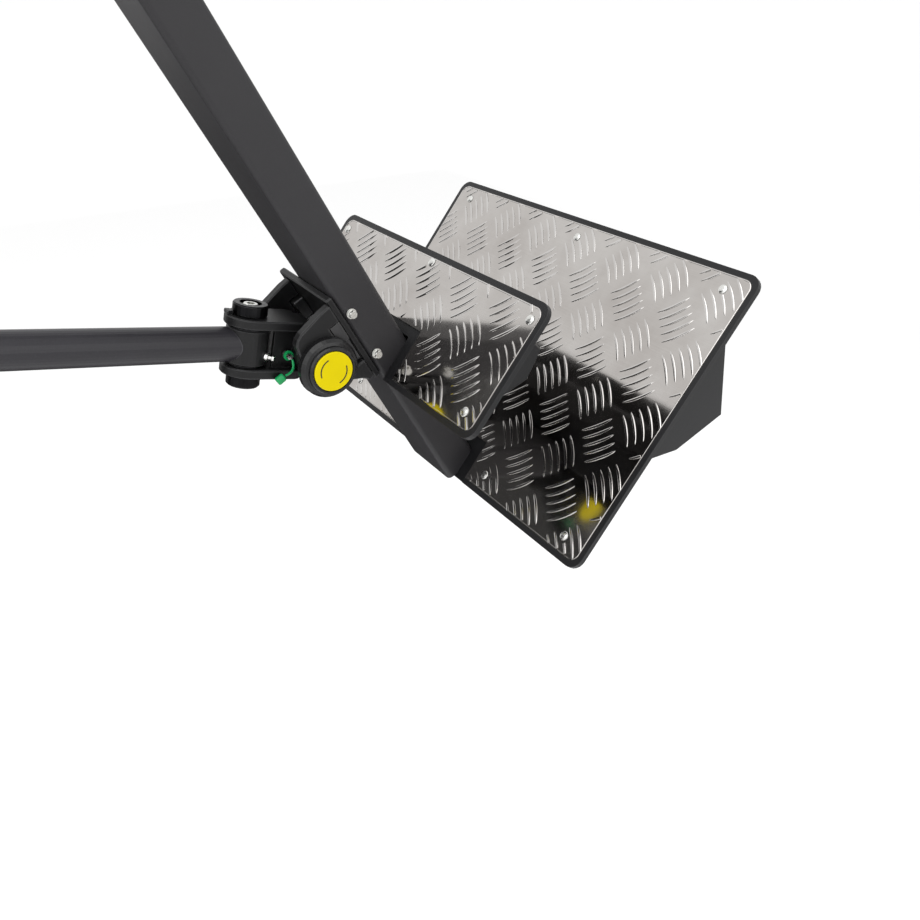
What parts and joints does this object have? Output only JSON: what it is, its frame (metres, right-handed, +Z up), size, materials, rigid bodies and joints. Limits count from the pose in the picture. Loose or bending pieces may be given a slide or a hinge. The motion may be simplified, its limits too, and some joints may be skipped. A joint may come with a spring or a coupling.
{
  "type": "step arm with yoke joint",
  "caption": "rectangular tube arm with parallel tread-plate steps and a universal joint on its lower face that carries a round link tube",
  "frame": {"origin": "centre of the upper end of the arm tube, on the underside of its end plate", "axes": "+Z up, Y along the steps and the yoke pivot, X the way the arm runs as it descends"},
  "size_m": [0.6742, 0.479, 0.5616],
  "materials": {
    "charcoal_paint": "satin powder coat",
    "black_paint": "satin black",
    "black_casting": "satin black over a casting",
    "tread_plate": "bright five-bar tread plate",
    "zinc": "bright zinc plate",
    "bronze": "plain bearing bronze",
    "yellow_plastic": "yellow disc",
    "green_rubber": "green nipple cap",
    "black_plastic": "moulded black",
    "black_steel": "black oxide"
  },
  "bodies": {
    "arm": {"arm_bolt_lower": "zinc", "arm_bolt_upper": "zinc", "arm_top_plate": "charcoal_paint", "arm_tube": "charcoal_paint", "arm_washer_lower": "zinc", "arm_washer_upper": "zinc", "bracket_flange": "black_casting", "bracket_key_far_lower": "black_casting", "bracket_key_far_upper": "black_casting", "bracket_key_near_lower": "black_casting", "bracket_key_near_upper": "black_casting", "cheek_far": "black_casting", "cheek_near": "black_casting", "large_step_rear_box": "black_paint", "large_step_screw_1": "zinc", "large_step_screw_2": "zinc", "large_step_screw_3": "zinc", "large_step_screw_4": "zinc", "large_step_screw_5": "zinc", "large_step_screw_6": "zinc", "large_step_screw_7": "zinc", "large_step_tray": "black_paint", "large_step_tread": "tread_plate", "pivot_cap_far": "black_plastic", "pivot_cap_near": "black_plastic", "pivot_disc": "yellow_plastic", "pivot_pin": "zinc", "pivot_washer_far": "zinc", "pivot_washer_near": "zinc", "small_step_rear_box": "black_paint", "small_step_screw_1": "zinc", "small_step_screw_2": "zinc", "small_step_screw_3": "zinc", "small_step_screw_4": "zinc", "small_step_screw_5": "zinc", "small_step_tray": "black_paint", "small_step_tread": "tread_plate"},
    "yoke": {"lock_tab": "black_steel", "nipple_cap": "green_rubber", "nipple_strap": "green_rubber", "nipple_strap_ring": "green_rubber", "pivot_bush_far": "bronze", "pivot_bush_near": "bronze", "swivel_bolt": "black_steel", "swivel_nut": "black_steel", "swivel_screw": "zinc", "swivel_washer_lower": "black_steel", "swivel_washer_upper": "black_steel", "yoke": "black_casting", "yoke_nipple": "zinc"},
    "link": {"barrel_bush_lower": "bronze", "barrel_bush_upper": "bronze", "barrel_nipple": "zinc", "link_barrel": "black_casting", "link_end_plug": "black_plastic", "link_tube": "charcoal_paint"}
  },
  "joints": [
    {"name": "yoke_pivot", "type": "hinge", "parent": "arm", "child": "yoke", "pos_m": [0.12657, 0.0045, -0.36478], "axis": [0, 1, 0], "range_deg": [-30, 30]},
    {"name": "link_swivel", "type": "hinge", "parent": "yoke", "child": "link", "pos_m": [0.07112, 0.0045, -0.34725], "axis": [0.2317, 0, 0.9728], "range_deg": [-40, 8]}
  ]
}
